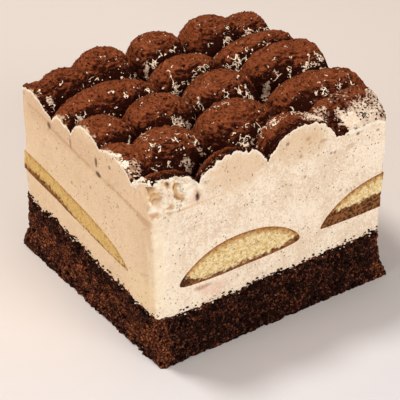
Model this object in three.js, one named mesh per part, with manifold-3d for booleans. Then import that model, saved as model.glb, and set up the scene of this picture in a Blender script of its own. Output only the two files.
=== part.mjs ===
// A square portion of tiramisu: a chocolate sponge base, a thick slab of mascarpone mousse with three
// sponge fingers laid in it, and rows of piped mousse dollops on top, all cut square with a knife.
// Millimetres, +Z up. X runs along the front cut face, which looks towards -Y. The origin is at the
// middle of the base.
import * as THREE from "three";
import { mergeVertices } from "three/addons/utils/BufferGeometryUtils.js";
import Module from "manifold-3d";

const wasm = await Module();
wasm.setup();

// ---- driving dimensions ----------------------------------------------------------------------
const portion = {
  width: 80, // along X
  depth: 78, // along Y
  cornerRadius: 1.4,
  shiftX: 0.13, // brings the middle of the leaning block over the origin
};
const gap = 0.3; // between pieces that touch
const outlineCount = 96; // points round the square outline
const leftFace = {
  back: 0.95, // how far the back end of the left face stands out
  leanLow: 2.6, // how far its front end stands out just above the sponge
  leanHigh: 1.2, // added to it further up
  fromZ: 18,
  overZ: 32,
};
const rightFace = {
  low: 0.4, // how far the right face stands out just above the sponge
  high: 1.1, // added to it further up
  fromZ: 19,
  overZ: 23,
};
const sponge = {
  height: 18.6,
  rise: 1.2, // from the front left corner to the back right one
  flareRight: 3.2, // the soft foot spreads a little
  flareLeft: 2.4,
  flareFront: 1.9,
  flareHeight: 13,
  footRound: 0.4,
  crag: 0.55, // depth of the crumb relief
  cragSize: 3.4,
  ragged: 0.7, // waviness of the join with the mousse
  raggedSize: 4,
  levels: [0, 0.15, 0.38, 0.6, 0.82, 1],
};
const mousse = {
  topZ: 53,
  knifeWave: 0.28, // the cut sides are not quite flat
  knifeWaveSize: 10,
  rimInset: 5, // the wavy edge levels out this far in
  steps: 6,
};
const tornCorner = {
  x: -41, // middle of the torn patch on the front face
  z: 59,
  reachX: 15,
  reachZ: 9,
  depth: 2.2,
  rough: 0.5, // share of the depth that varies
  roughSize: 3,
};
const finger = {
  topShape: 0.72, // the domed upper side
  underShape: 0.25, // the flat underside with round edges
  endShape: 3.2,
  around: 18,
  steps: 8,
};
const fingers = [
  {
    name: "sponge_finger_left",
    x: -57.4,
    skew: 2.4, // how far it drifts along X from the front face to the back
    y: 19,
    z: 28.1, // its widest level
    wide: 21, // half its width and length
    long: 48,
    rise: 10.6,
    drop: 0.3,
    tilt: 1.9,
  },
  {
    name: "sponge_finger_front",
    x: -12.5,
    skew: 2.6,
    y: 0,
    z: 27,
    wide: 23.6,
    long: 62,
    rise: 10.4,
    drop: 2.5,
    tilt: 0,
  },
  {
    name: "sponge_finger_right",
    x: 40.5,
    skew: 1,
    y: 2,
    z: 27,
    wide: 25.4,
    long: 64,
    rise: 12.4,
    drop: 0.9,
    tilt: 0,
  },
];
const dollop = {
  baseZ: mousse.topZ + gap,
  domeShape: 2.26, // higher is flatter on top and steeper at the foot
  lump: 0.45, // height of the uneven bumps
  lumpSize: 7,
  columns: 18,
  rings: 6,
};
// Piped row by row from the back. Each lobe of a dollop lies along X: its middle, half its length and
// width, the height of its crest, its turn in degrees and how square its plan is. A second lobe makes
// a shoulder.
const rows = {
  a: [
    [
      { x: -29, y: 30.5, long: 11.2, wide: 10.8, crest: 63.4 },
      { x: -38, y: 31, long: 9, wide: 10.5, crest: 61.2 },
    ],
    [{ x: -16, y: 31, long: 11.8, wide: 11, crest: 66.6, turn: -6 }],
    [{ x: 4, y: 30.5, long: 11.2, wide: 11, crest: 66.6 }],
    [{ x: 24, y: 30, long: 11.7, wide: 11.5, crest: 66.4 }],
    [{ x: 38, y: 28.5, long: 12.5, wide: 11.5, crest: 63.9 }],
  ],
  b: [
    [{ x: -25, y: 13, long: 20.5, wide: 10, crest: 65.4, turn: -3 }],
    [{ x: 4, y: 14.5, long: 14.5, wide: 9.8, crest: 65.4 }],
    [{ x: 33, y: 13.5, long: 20, wide: 9.8, crest: 65, turn: -7 }],
  ],
  c: [
    [{ x: -37.5, y: -3.5, long: 12.5, wide: 12, crest: 65.6 }],
    [{ x: -17.5, y: -3, long: 13.2, wide: 10.8, crest: 66.8 }],
    [{ x: 5.4, y: -2, long: 13.4, wide: 11.2, crest: 67.2 }],
    [{ x: 35.5, y: 0.5, long: 19.5, wide: 11.8, crest: 67, turn: -14 }],
  ],
  d: [
    [
      { x: -26, y: -20, long: 13.8, wide: 11.5, crest: 66.6 },
      { x: -40, y: -18.5, long: 10.5, wide: 13.5, crest: 64.6 },
    ],
    [{ x: -1, y: -19.5, long: 14.5, wide: 12.4, crest: 67 }],
    [{ x: 31.5, y: -20, long: 20, wide: 13, crest: 67, turn: -12 }],
  ],
  e: [
    [{ x: -38.5, y: -38, long: 13, wide: 10, crest: 65.3 }],
    [{ x: -15.5, y: -41, long: 13.6, wide: 12, crest: 66.4 }],
    [{ x: 9.3, y: -36, long: 13.6, wide: 13.2, crest: 67 }],
    [
      { x: 33.5, y: -26, long: 16.7, wide: 14.5, crest: 65.2, square: 2.2 },
      { x: 26, y: -33, long: 8, wide: 10, crest: 60.5 },
    ],
  ],
};

// ---- materials -------------------------------------------------------------------------------
const looks = {
  sponge: new THREE.MeshStandardMaterial({ color: 0x3a2019, roughness: 0.95, metalness: 0 }),
  mousse: new THREE.MeshStandardMaterial({ color: 0xe8d5b8, roughness: 0.6, metalness: 0 }),
  finger: new THREE.MeshStandardMaterial({ color: 0xd9b86c, roughness: 0.9, metalness: 0 }),
  cocoa: new THREE.MeshStandardMaterial({ color: 0x6b3320, roughness: 0.97, metalness: 0 }),
};

// ---- helpers ---------------------------------------------------------------------------------
const clamp = THREE.MathUtils.clamp;
const lerp = THREE.MathUtils.lerp;
const smooth = (t) => t * t * (3 - 2 * t);
const halfWidth = portion.width / 2;
const halfDepth = portion.depth / 2;

// A repeatable random value from -1 to 1 for each point of a lattice.
function lattice(i, j, k) {
  const mixed = Math.sin(i * 127.1 + j * 311.7 + k * 74.7) * 43758.5453;
  return 2 * (mixed - Math.floor(mixed)) - 1;
}

// Smooth noise from -1 to 1, in bumps of one unit.
function noise(x, y, z) {
  const cell = [x, y, z].map(Math.floor);
  const part = [x - cell[0], y - cell[1], z - cell[2]].map(smooth);
  let sum = 0;
  for (let corner = 0; corner < 8; corner++) {
    const bits = [corner & 1, (corner >> 1) & 1, (corner >> 2) & 1];
    const weight = bits.reduce((total, bit, axis) => total * (bit ? part[axis] : 1 - part[axis]), 1);
    sum += weight * lattice(cell[0] + bits[0], cell[1] + bits[1], cell[2] + bits[2]);
  }
  return sum;
}

// A closed three.js geometry as a solid that can be joined and cut.
function toSolid(geometry) {
  const merged = mergeVertices(geometry, 1e-4);
  return new wasm.Manifold(
    new wasm.Mesh({
      numProp: 3,
      vertProperties: new Float32Array(merged.attributes.position.array),
      triVerts: new Uint32Array(merged.index.array),
    })
  );
}

function toGeometry(solid) {
  const mesh = solid.getMesh();
  const geometry = new THREE.BufferGeometry();
  geometry.setAttribute("position", new THREE.BufferAttribute(new Float32Array(mesh.vertProperties), 3));
  geometry.setIndex(new THREE.BufferAttribute(new Uint32Array(mesh.triVerts), 1));
  return geometry;
}

// Joins rings of equally many points, from the lowest to the highest, and closes both ends with fans.
function loft(rings, lowPoint, highPoint) {
  const count = rings[0].length;
  const points = rings.flat();
  const faces = [];
  for (let level = 0; level < rings.length - 1; level++) {
    for (let i = 0; i < count; i++) {
      const a = level * count + i;
      const b = level * count + ((i + 1) % count);
      faces.push(a, b, b + count, a, b + count, a + count);
    }
  }
  const low = points.push(lowPoint) - 1;
  const high = points.push(highPoint) - 1;
  const last = (rings.length - 1) * count;
  for (let i = 0; i < count; i++) {
    const next = (i + 1) % count;
    faces.push(low, next, i, high, last + i, last + next);
  }
  const geometry = new THREE.BufferGeometry().setFromPoints(points);
  geometry.setIndex(faces);
  return geometry;
}

// ---- the cut sides ---------------------------------------------------------------------------
// The square outline with round corners, evenly spaced, counted anticlockwise from above.
function squareOutline() {
  const x = halfWidth;
  const y = halfDepth;
  const r = portion.cornerRadius;
  const outline = new THREE.Shape();
  outline.moveTo(-x + r, -y);
  outline.lineTo(x - r, -y);
  outline.absarc(x - r, -y + r, r, -Math.PI / 2, 0);
  outline.lineTo(x, y - r);
  outline.absarc(x - r, y - r, r, 0, Math.PI / 2);
  outline.lineTo(-x + r, y);
  outline.absarc(-x + r, y - r, r, Math.PI / 2, Math.PI);
  outline.lineTo(-x, -y + r);
  outline.absarc(-x + r, -y + r, r, Math.PI, 1.5 * Math.PI);
  return outline.getSpacedPoints(outlineCount).slice(0, outlineCount);
}

// The left face stands out more towards the front and towards the top.
function leftLean(y, z) {
  const towardsFront = (halfDepth - y) / portion.depth;
  const up = clamp((z - leftFace.fromZ) / leftFace.overZ, 0, 1.2);
  const foot = clamp(z / sponge.height, 0, 1);
  const front = foot * (leftFace.leanLow + leftFace.leanHigh * up);
  return leftFace.back * (1 - towardsFront) + front * towardsFront;
}

function rightLean(z) {
  return rightFace.low + rightFace.high * clamp((z - rightFace.fromZ) / rightFace.overZ, 0, 1);
}

// How far a point of the side x stands out from the square outline.
function sideLean(x, y, z) {
  return x < 0 ? leftLean(y, z) : rightLean(z);
}

// How deep the crumbly patch at the top of the front left corner is torn into the front face.
function tornDepth(x, z) {
  const across = (x - tornCorner.x) / tornCorner.reachX;
  const up = (z - tornCorner.z) / tornCorner.reachZ;
  const near = Math.sqrt(clamp(1 - across * across - up * up, 0, 1));
  const rough = noise(x / tornCorner.roughSize, z / tornCorner.roughSize, 0.5);
  return tornCorner.depth * near * (1 - tornCorner.rough / 2 + tornCorner.rough * rough);
}

// A point of the knife-cut wall of the mousse.
function wallPoint(point, z, inset = 0) {
  const size = mousse.knifeWaveSize;
  const lean = sideLean(point.x, point.y, z);
  const wave = mousse.knifeWave * noise(point.x / size, point.y / size, z / size);
  const x = point.x * (1 + lean / halfWidth);
  const scale = 1 + (wave - inset) / halfWidth;
  const onFrontFace = point.y < portion.cornerRadius - halfDepth;
  return new THREE.Vector3(x * scale, point.y * scale + (onFrontFace ? tornDepth(x, z) : 0), z);
}

// A point of the sponge's crumbly wall, which spreads towards its foot.
function spongePoint(point, z, inset = 0) {
  const size = sponge.cragSize;
  const foot = clamp(1 - z / sponge.flareHeight, 0, 1) ** 2;
  const crag = sponge.crag * noise(point.x / size, point.y / size, z / size) - inset;
  const lean = sideLean(point.x, point.y, z);
  const flareX = point.x < 0 ? sponge.flareLeft : sponge.flareRight;
  const x = point.x * (1 + (flareX * foot + lean + crag) / halfWidth);
  const y = point.y * (1 + (sponge.flareFront * foot + crag) / halfDepth);
  return new THREE.Vector3(x, y, z);
}

// The wavy height at which sponge and mousse meet, along the outline.
function joinZ(point) {
  const slope = (sponge.rise * (point.x + point.y)) / (portion.width + portion.depth);
  const wave = sponge.ragged * noise(point.x / sponge.raggedSize, point.y / sponge.raggedSize, 0.5);
  return sponge.height + slope + wave;
}

// ---- the pieces ------------------------------------------------------------------------------
function spongeSolid() {
  const outline = squareOutline();
  const rings = [outline.map((p) => spongePoint(p, 0, mousse.rimInset))];
  for (const level of sponge.levels) {
    const roundIn = level === 0 ? sponge.footRound : 0;
    rings.push(outline.map((p) => spongePoint(p, level * joinZ(p), roundIn)));
  }
  rings.push(outline.map((p) => spongePoint(p, sponge.height, mousse.rimInset)));
  return toSolid(loft(rings, new THREE.Vector3(), new THREE.Vector3(0, 0, sponge.height)));
}

// A block inside the knife-cut walls. Its foot is flat, or follows the sponge at a small gap.
function wallBlock(lowZ, highZ, steps, onSponge = false) {
  const outline = squareOutline();
  const foot = (p) => (onSponge ? joinZ(p) + gap : lowZ);
  const rings = [outline.map((p) => wallPoint(p, lowZ, mousse.rimInset))];
  for (let step = 0; step <= steps; step++) {
    rings.push(outline.map((p) => wallPoint(p, lerp(foot(p), highZ, step / steps))));
  }
  return toSolid(loft(rings, new THREE.Vector3(0, 0, lowZ), new THREE.Vector3(0, 0, highZ)));
}

// A sponge finger along Y: domed above, flat below, with round ends. Grown by the gap, it is the
// hollow that the mousse leaves for it.
function fingerSolid(size, grow = 0) {
  const rings = [];
  for (let step = 0; step <= finger.steps; step++) {
    const along = -Math.cos((Math.PI * step) / finger.steps);
    const taper = Math.max(1 - Math.abs(along) ** finger.endShape, 1e-3) ** (1 / finger.endShape);
    const y = size.y + along * (size.long + grow);
    const midX = size.x + size.skew * (0.5 + y / portion.depth);
    const midZ = size.z + size.tilt * along;
    const ring = [];
    for (let i = 0; i < finger.around; i++) {
      const angle = (-2 * Math.PI * i) / finger.around;
      const across = Math.cos(angle);
      const round = 1 - across * across;
      const upper = size.rise * round ** finger.topShape * taper + grow;
      const under = size.drop * round ** finger.underShape * taper + grow;
      const atTip = round < 1e-6;
      const lift = atTip ? 0 : Math.sin(angle) > 0 ? upper : -under;
      ring.push(new THREE.Vector3(midX + across * (size.wide * taper + grow), y, midZ + lift));
    }
    rings.push(ring);
  }
  const endAt = (side) => {
    const y = size.y + side * (size.long + 2 * grow + gap);
    const midX = size.x + size.skew * (0.5 + y / portion.depth);
    return new THREE.Vector3(midX, y, size.z + size.tilt * side);
  };
  return toSolid(loft(rings, endAt(-1), endAt(1)));
}

// One domed lobe of a dollop, a little lumpy, standing on the slab. Grown by the gap, it is the room
// that the next dollop leaves for it.
function lobeSolid(lobe, grow = 0) {
  const turn = THREE.MathUtils.degToRad(lobe.turn ?? 0);
  const square = lobe.square ?? 2;
  const height = lobe.crest - dollop.baseZ;
  const foot = dollop.baseZ - 3 * grow;
  const place = (angle, share, lift) => {
    const c = Math.cos(angle);
    const s = Math.sin(angle);
    const reach = share * (Math.abs(c) ** square + Math.abs(s) ** square) ** (-1 / square);
    const u = c * reach * (lobe.long + grow);
    const v = s * reach * (lobe.wide + grow);
    const x = lobe.x + u * Math.cos(turn) - v * Math.sin(turn);
    const y = lobe.y + u * Math.sin(turn) + v * Math.cos(turn);
    const bump = dollop.lump * noise(x / dollop.lumpSize, y / dollop.lumpSize, 0.5);
    return new THREE.Vector3(x, y, dollop.baseZ + lift + bump * Math.min(1, lift / 3) + grow);
  };
  const angles = Array.from({ length: dollop.columns }, (_, i) => (2 * Math.PI * i) / dollop.columns);
  const rings = [angles.map((angle) => place(angle, 1, 0).setZ(foot))];
  for (let ring = 1; ring <= dollop.rings; ring++) {
    const share = Math.cos((Math.PI / 2) * (ring / (dollop.rings + 1)) ** 0.9) ** 0.9;
    const lift = height * Math.sqrt(1 - share ** dollop.domeShape);
    rings.push(angles.map((angle) => place(angle, share, lift)));
  }
  return toSolid(loft(rings, new THREE.Vector3(lobe.x, lobe.y, foot), place(0, 0, height)));
}

function dollopSolid(lobes, grow = 0) {
  return lobes.map((lobe) => lobeSolid(lobe, grow)).reduce((joined, lobe) => joined.add(lobe));
}

// ---- assembly --------------------------------------------------------------------------------
const tiramisu = new THREE.Group();
tiramisu.name = "tiramisu_portion";

function addPiece(name, solid, material) {
  const mesh = new THREE.Mesh(toGeometry(solid), material);
  mesh.name = name;
  mesh.position.x = portion.shiftX;
  tiramisu.add(mesh);
}

addPiece("chocolate_sponge", spongeSolid(), looks.sponge);

const knifeCut = wallBlock(sponge.height, 1.3 * mousse.topZ, 10);
let slab = wallBlock(sponge.height + sponge.ragged + gap, mousse.topZ, mousse.steps, true);
for (const size of fingers) {
  slab = slab.subtract(fingerSolid(size, gap));
  addPiece(size.name, fingerSolid(size).intersect(knifeCut), looks.finger);
}
addPiece("mousse_slab", slab, looks.mousse);

// The dollops are piped one after another, and each one gives way to those already there.
const piped = [];
for (const [row, dollops] of Object.entries(rows)) {
  dollops.forEach((lobes, index) => {
    let solid = dollopSolid(lobes).intersect(knifeCut);
    piped.forEach((earlier) => {
      solid = solid.subtract(earlier);
    });
    piped.push(dollopSolid(lobes, gap));
    addPiece(`dollop_${row}${index + 1}`, solid, looks.cocoa);
  });
}

export default tiramisu;
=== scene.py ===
import math
from functools import cache

import bpy
import numpy as np
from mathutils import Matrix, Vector


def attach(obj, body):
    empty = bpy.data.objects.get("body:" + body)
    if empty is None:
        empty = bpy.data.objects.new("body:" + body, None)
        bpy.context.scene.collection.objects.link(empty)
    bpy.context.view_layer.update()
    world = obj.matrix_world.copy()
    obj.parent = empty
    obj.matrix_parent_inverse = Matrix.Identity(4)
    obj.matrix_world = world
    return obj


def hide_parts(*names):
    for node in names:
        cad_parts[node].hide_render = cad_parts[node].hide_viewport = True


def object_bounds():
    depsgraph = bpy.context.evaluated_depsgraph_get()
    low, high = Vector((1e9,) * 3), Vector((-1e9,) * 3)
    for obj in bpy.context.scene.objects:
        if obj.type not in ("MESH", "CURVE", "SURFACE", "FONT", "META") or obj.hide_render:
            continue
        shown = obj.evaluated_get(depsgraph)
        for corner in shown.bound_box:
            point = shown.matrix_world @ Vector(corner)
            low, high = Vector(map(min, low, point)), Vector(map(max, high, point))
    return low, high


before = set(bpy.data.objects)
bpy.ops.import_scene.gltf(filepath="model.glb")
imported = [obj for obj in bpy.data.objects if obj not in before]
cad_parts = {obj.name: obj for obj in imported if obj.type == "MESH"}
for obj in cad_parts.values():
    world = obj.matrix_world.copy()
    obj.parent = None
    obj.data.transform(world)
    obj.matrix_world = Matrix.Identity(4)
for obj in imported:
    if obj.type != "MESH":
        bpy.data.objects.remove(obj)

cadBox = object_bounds()
boxLow, boxHigh = [np.array(corner) for corner in cadBox]
boxInset = 1e-5  # every piece ends this far inside the box of the solids
mm = 0.001  # the lengths below are in millimetres, as in the part's source

# the block and its cut sides
portion = {"width": 80, "depth": 78, "cornerRadius": 1.4, "shiftX": 0.13}
leftFace = {"back": 0.95, "leanLow": 2.6, "leanHigh": 1.2, "fromZ": 18, "overZ": 32, "footHeight": 18.6}
rightFace = {"low": 0.4, "high": 1.1, "fromZ": 19, "overZ": 23}
halfWidth = portion["width"] / 2
halfDepth = portion["depth"] / 2


def lattice(i, j, k):
    mixed = np.sin(i * 127.1 + j * 311.7 + k * 74.7) * 43758.5453
    return 2 * (mixed - np.floor(mixed)) - 1


def smooth(t):
    return t * t * (3 - 2 * t)


def ramp(value, low, high, start=0):  # from start at low to 1 at high, with soft ends
    return start + (1 - start) * smooth(np.clip((value - low) / (high - low), 0, 1))


def noise(x, y, z):  # smooth bumps of one unit, from -1 to 1
    x, y, z = np.broadcast_arrays(x, y, z)
    cell = [np.floor(a) for a in (x, y, z)]
    part = [smooth(a - c) for a, c in zip((x, y, z), cell)]
    total = np.zeros(x.shape)
    for corner in range(8):
        bits = (corner & 1, corner >> 1 & 1, corner >> 2 & 1)
        weight = 1.0
        for bit, share in zip(bits, part):
            weight = weight * (share if bit else 1 - share)
        total += weight * lattice(*[c + bit for c, bit in zip(cell, bits)])
    return total


def layered(x, y, z, size, layers=3, seed=0):  # bumps of this size with finer ones on them
    total, weight, reach = 0, 1, 0
    for layer in range(layers):
        step = size / 2 ** layer
        total = total + weight * noise(x / step + 17 * seed, y / step - 9 * seed, z / step + 5.3 * layer)
        reach += weight
        weight *= 0.55
    return total / reach


def nearestDot(x, y, z, size, seed=0):  # distance to the nearest of scattered dots, one to a cell
    p = [a / size for a in np.broadcast_arrays(x, y, z)]
    cell = [np.floor(a) for a in p]
    best = np.full(p[0].shape, 9.0)
    for i in (-1, 0, 1):
        for j in (-1, 0, 1):
            for k in (-1, 0, 1):
                at = (cell[0] + i, cell[1] + j, cell[2] + k)
                jitter = [0.5 + 0.45 * lattice(at[0] + seed, at[1] + 11 * a, at[2] - 5 * a)
                          for a in range(3)]
                best = np.minimum(best, sum((at[a] + jitter[a] - p[a]) ** 2 for a in range(3)))
    return np.sqrt(best)


# the cut sides of the block: where a point of its square plan goes at height z

def leftLean(y, z):
    towardsFront = (halfDepth - y) / portion["depth"]
    up = np.clip((z - leftFace["fromZ"]) / leftFace["overZ"], 0, 1.2)
    front = np.clip(z / leftFace["footHeight"], 0, 1) * (leftFace["leanLow"] + leftFace["leanHigh"] * up)
    return leftFace["back"] * (1 - towardsFront) + front * towardsFront


def rightLean(z):
    up = np.clip((z - rightFace["fromZ"]) / rightFace["overZ"], 0, 1)
    return rightFace["low"] + rightFace["high"] * up


def sideLean(x, y, z):  # how far a point of the side x stands out from the square plan
    return np.where(x < 0, leftLean(y, z), rightLean(z))


def roundCorners(u, v):
    r = portion["cornerRadius"]
    a = np.clip((np.abs(u) - halfWidth + r) / r, 0, 1)
    b = np.clip((np.abs(v) - halfDepth + r) / r, 0, 1)
    newU = np.where(a > 0, np.sign(u) * (halfWidth - r + r * a * np.sqrt(1 - b * b / 2)), u)
    newV = np.where(b > 0, np.sign(v) * (halfDepth - r + r * b * np.sqrt(1 - a * a / 2)), v)
    return newU, newV


def planEdge(spacing):  # the edge of the plan, anticlockwise from the front left corner
    nx, ny = round(portion["width"] / spacing), round(portion["depth"] / spacing)
    u = np.linspace(-halfWidth, halfWidth, nx + 1)
    v = np.linspace(-halfDepth, halfDepth, ny + 1)
    sides = [(u[:-1], -halfDepth), (halfWidth, v[:-1]), (u[:0:-1], halfDepth), (-halfWidth, v[:0:-1])]
    sides = [np.broadcast_arrays(a, b) for a, b in sides]
    return roundCorners(*[np.concatenate(part) for part in zip(*sides)])


# meshes

def makePiece(name, points, faceGroups, material, replaced, sharpOver=50):
    faceGroups = [np.atleast_2d(np.asarray(group, np.int32)) for group in faceGroups]
    sizes = np.concatenate([np.full(len(group), group.shape[1]) for group in faceGroups])
    shifted = np.asarray(points, float) + (portion["shiftX"], 0, 0)
    shifted = np.clip(shifted * mm, boxLow + (boxInset, boxInset, 0), boxHigh - boxInset)
    mesh = bpy.data.meshes.new(name)
    mesh.vertices.add(len(shifted))
    mesh.vertices.foreach_set("co", shifted.astype(np.float32).ravel())
    mesh.loops.add(int(sizes.sum()))
    mesh.loops.foreach_set("vertex_index", np.concatenate([group.ravel() for group in faceGroups]))
    mesh.polygons.add(len(sizes))
    mesh.polygons.foreach_set("loop_start", np.concatenate([[0], np.cumsum(sizes)[:-1]]).astype(np.int32))
    mesh.update(calc_edges=True)
    mesh.polygons.foreach_set("use_smooth", np.ones(len(sizes), bool))
    mesh.set_sharp_from_angle(angle=math.radians(sharpOver))
    mesh.materials.append(material)
    piece = bpy.data.objects.new(name, mesh)
    bpy.context.scene.collection.objects.link(piece)
    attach(piece, "root")
    if replaced:
        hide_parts(*replaced)
    return piece


def addFields(mesh, fields):  # numbers and colours at the vertices, which the materials read
    for name, values in fields.items():
        if np.ndim(values) == 2:
            layer = mesh.attributes.new(name, "FLOAT_COLOR", "POINT")
            withAlpha = np.column_stack([values, np.ones(len(values))])
            layer.data.foreach_set("color", withAlpha.astype(np.float32).ravel())
        else:
            layer = mesh.attributes.new(name, "FLOAT", "POINT")
            layer.data.foreach_set("value", np.asarray(values, np.float32))


def tubeFaces(rows, count):  # quads between closed rings of count points, rows of them, and both ends
    level, i = np.meshgrid(np.arange(rows - 1), np.arange(count), indexing="ij")
    a = level * count + i
    b = level * count + (i + 1) % count
    quads = np.stack([a, b, b + count, a + count], -1).reshape(-1, 4)
    return [quads, np.arange(count)[::-1], (rows - 1) * count + np.arange(count)]


# material building

class Shade:  # one material: a shader, the place on the piece, and short ways to add nodes
    def __init__(self, name):
        self.material = bpy.data.materials.new(name)
        self.material.use_nodes = True
        self.tree = self.material.node_tree
        self.shader = self.tree.nodes["Principled BSDF"]
        self.place = self.tree.nodes.new("ShaderNodeTexCoord").outputs["Object"]

    def put(self, socket, value):
        if isinstance(value, bpy.types.NodeSocket):
            self.tree.links.new(value, socket)
        elif socket.type == "RGBA":
            socket.default_value = (*value, 1)
        else:
            socket.default_value = value

    def node(self, kind, output, settings=None, **inputs):
        made = self.tree.nodes.new(kind)
        for key, value in (settings or {}).items():
            setattr(made, key, value)
        for key, value in inputs.items():
            self.put(made.inputs[key.replace("_", " ")], value)
        return made.outputs[output]

    def field(self, name):
        return self.node("ShaderNodeAttribute", "Fac", {"attribute_name": name})

    def fieldColour(self, name):
        return self.node("ShaderNodeAttribute", "Color", {"attribute_name": name})

    def stretched(self, scale):  # the place with its axes scaled, for streaks
        return self.node("ShaderNodeMapping", "Vector", Vector=self.place, Scale=scale)

    def noise(self, size, detail=2.0, roughness=0.5, distortion=0.0, place=None):  # bumps of size mm
        return self.node("ShaderNodeTexNoise", "Fac", Vector=place or self.place, Scale=1 / (size * mm),
                         Detail=detail, Roughness=roughness, Distortion=distortion)

    def wobbled(self, size, reach):  # the place shifted about by reach mm, for uneven outlines
        shift = self.node("ShaderNodeTexNoise", "Color", Vector=self.place, Scale=1 / (size * mm),
                          Detail=2.0)
        made = self.tree.nodes.new("ShaderNodeVectorMath")
        made.operation = "MULTIPLY_ADD"
        for socket, value in zip(made.inputs, (shift, (4 * reach * mm,) * 3, self.place)):
            self.put(socket, value)
        return made.outputs[0]

    def dots(self, size, feature="F1", place=None):  # how far off a scattered dot is, in cells of size mm
        return self.node("ShaderNodeTexVoronoi", "Distance", {"feature": feature},
                         Vector=place or self.place, Scale=1 / (size * mm))

    def spots(self, size, outer, inner, patches, low, high):  # round marks, only where the patches are high
        return self.times(self.ramp(self.dots(size), outer, inner), self.ramp(patches, low, high))

    def math(self, operation, *values):
        made = self.tree.nodes.new("ShaderNodeMath")
        made.operation = operation
        for socket, value in zip(made.inputs, values):
            self.put(socket, value)
        return made.outputs[0]

    def times(self, a, b):
        return self.math("MULTIPLY", a, b)

    def plus(self, a, b):
        return self.math("ADD", a, b)

    def minus(self, a, b):
        return self.math("SUBTRACT", a, b)

    def larger(self, a, b):
        return self.math("MAXIMUM", a, b)

    def weighed(self, *parts):  # the sum of values, each times its share
        total = self.times(*parts[0])
        for part, share in parts[1:]:
            total = self.plus(total, self.times(part, share))
        return total

    def ramp(self, value, low, high, toLow=0.0, toHigh=1.0):
        return self.node("ShaderNodeMapRange", "Result", {"interpolation_type": "SMOOTHSTEP"}, Value=value,
                         From_Min=low, From_Max=high, To_Min=toLow, To_Max=toHigh)

    def mix(self, share, a, b):
        made = self.tree.nodes.new("ShaderNodeMix")
        made.data_type = "RGBA"
        for socket, value in zip((made.inputs[0], made.inputs[6], made.inputs[7]), (share, a, b)):
            self.put(socket, value)
        return made.outputs[2]

    def finish(self, colour, bump, depth, roughness, **constants):
        self.put(self.shader.inputs["Base Color"], colour)
        self.put(self.shader.inputs["Roughness"], roughness)
        for key, value in constants.items():
            self.put(self.shader.inputs[key.replace("_", " ")], value)
        normal = self.node("ShaderNodeBump", "Normal", Height=bump, Distance=depth * mm, Strength=1.0)
        self.tree.links.new(normal, self.shader.inputs["Normal"])
        return self.material


# camera, light and floor
view = {
    "azimuth": -34.4, "elevation": 33.5,  # degrees round and above the portion
    "distance": 549.8, "target": (-8.35, -11.76, 32.0),
    "lens": 162, "sensorWidth": 36,
    "floorColour": (0.74, 0.64, 0.565), "floorSize": 6000, "floorGrain": 2.0,
    "floorBump": 0.02, "floorRough": 0.55, "floorMottle": 0.04,
    "nearFloorShade": (0.66, 0.622, 0.618),  # painted shade: the floor turns darker and cooler towards the front
    "nearFrom": -30, "nearTo": 90, "nearTowards": (-0.08, -0.997, 0),
    "keyPower": 4.3, "keySize": 160, "keyFrom": (-190, 250, 780),
    "fillPower": 3.9, "fillSize": 500, "fillFrom": (120, -760, 420),
    "sideFillPower": 1.7, "sideFillSize": 400, "sideFillFrom": (-700, -60, 300),
    "lampsTowards": (0, 0, 30), "skyColour": (1.0, 0.95, 0.91), "skyStrength": 0.36,
}


def addLamp(name, power, size, place):
    lamp = bpy.data.lights.new(name, "AREA")
    lamp.energy, lamp.size, lamp.shape = power, size * mm, "DISK"
    holder = bpy.data.objects.new(name, lamp)
    bpy.context.scene.collection.objects.link(holder)
    holder.location = Vector(place) * mm
    towards = Vector(view["lampsTowards"]) * mm - holder.location
    holder.rotation_euler = towards.to_track_quat("-Z", "Y").to_euler()


def makeStage():
    camera = bpy.data.objects.new("camera", bpy.data.cameras.new("camera"))
    bpy.context.scene.collection.objects.link(camera)
    bpy.context.scene.camera = camera
    camera.data.lens, camera.data.sensor_width = view["lens"], view["sensorWidth"]
    camera.data.clip_start, camera.data.clip_end = 0.01, 20
    a, e = math.radians(view["azimuth"]), math.radians(view["elevation"])
    back = Vector((math.sin(a) * math.cos(e), -math.cos(a) * math.cos(e), math.sin(e)))
    camera.location = (Vector(view["target"]) + back * view["distance"]) * mm
    camera.rotation_euler = (-back).to_track_quat("-Z", "Y").to_euler()
    for side in ("key", "fill", "sideFill"):
        addLamp(side, view[side + "Power"], view[side + "Size"], view[side + "From"])
    world = bpy.data.worlds.new("softRoom")
    bpy.context.scene.world = world
    world.use_nodes = True
    sky = world.node_tree.nodes["Background"]
    sky.inputs["Color"].default_value = (*view["skyColour"], 1)
    sky.inputs["Strength"].default_value = view["skyStrength"]
    bpy.context.scene.view_settings.view_transform = "Standard"
    bpy.ops.mesh.primitive_plane_add(size=view["floorSize"] * mm)
    floor = bpy.context.object
    floor.name = "floor"
    shade = Shade("paleFloor")
    grain = shade.noise(view["floorGrain"], detail=4)
    towards = shade.node("ShaderNodeVectorMath", "Value", {"operation": "DOT_PRODUCT"}, Vector=shade.place)
    towards.node.inputs[1].default_value = view["nearTowards"]
    # painted shade: the floor turns darker and cooler towards the front
    near = shade.ramp(towards, view["nearFrom"] * mm, view["nearTo"] * mm)
    near = shade.plus(near, shade.times(grain, view["floorMottle"]))
    colour = shade.mix(near, view["floorColour"], view["nearFloorShade"])
    floor.data.materials.append(shade.finish(colour, grain, view["floorBump"], view["floorRough"]))


makeStage()
print("camera, light and floor are set")


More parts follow.
